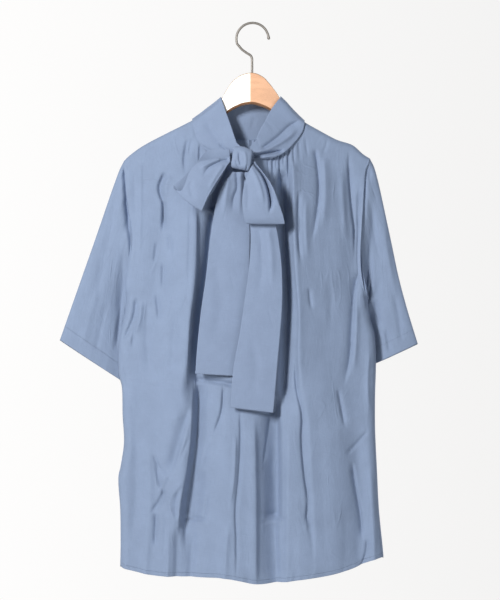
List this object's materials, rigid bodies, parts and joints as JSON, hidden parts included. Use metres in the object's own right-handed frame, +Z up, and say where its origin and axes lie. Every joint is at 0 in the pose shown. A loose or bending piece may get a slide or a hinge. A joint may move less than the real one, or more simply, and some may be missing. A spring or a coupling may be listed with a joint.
{
  "type": "short-sleeve blouse on a wooden hanger",
  "caption": "Loose short-sleeve blouse with a tie-neck collar knotted in a bow, hanging flat on a wooden hanger with a steel hook.",
  "frame": {"origin": "inside of the hook's crown, where the rail or peg that carries the hanger lies", "axes": "+Z up, +X toward the wearer's left (right in the front view), the front of the blouse faces -Y"},
  "size_m": [0.5686, 0.118, 0.8785],
  "materials": {
    "body_cloth": "light plain weave, matte with a faint sheen, slightly sheer, dusty blue",
    "tie_cloth": "the same cloth doubled, pressed edges",
    "hanger_wood": "clear satin varnish on pale beech",
    "hook_steel": "satin nickel-plated wire"
  },
  "bodies": {
    "root": {"front_panel": "body_cloth", "back_panel": "body_cloth", "sleeve_wearer_right": "body_cloth", "sleeve_wearer_left": "body_cloth", "collar_band": "tie_cloth", "bow_knot": "tie_cloth", "bow_loop_left": "tie_cloth", "bow_loop_right": "tie_cloth", "bow_tail_left": "tie_cloth", "bow_tail_right": "tie_cloth", "hanger_body": "hanger_wood", "hanger_hook": "hook_steel"}
  },
  "joints": []
}
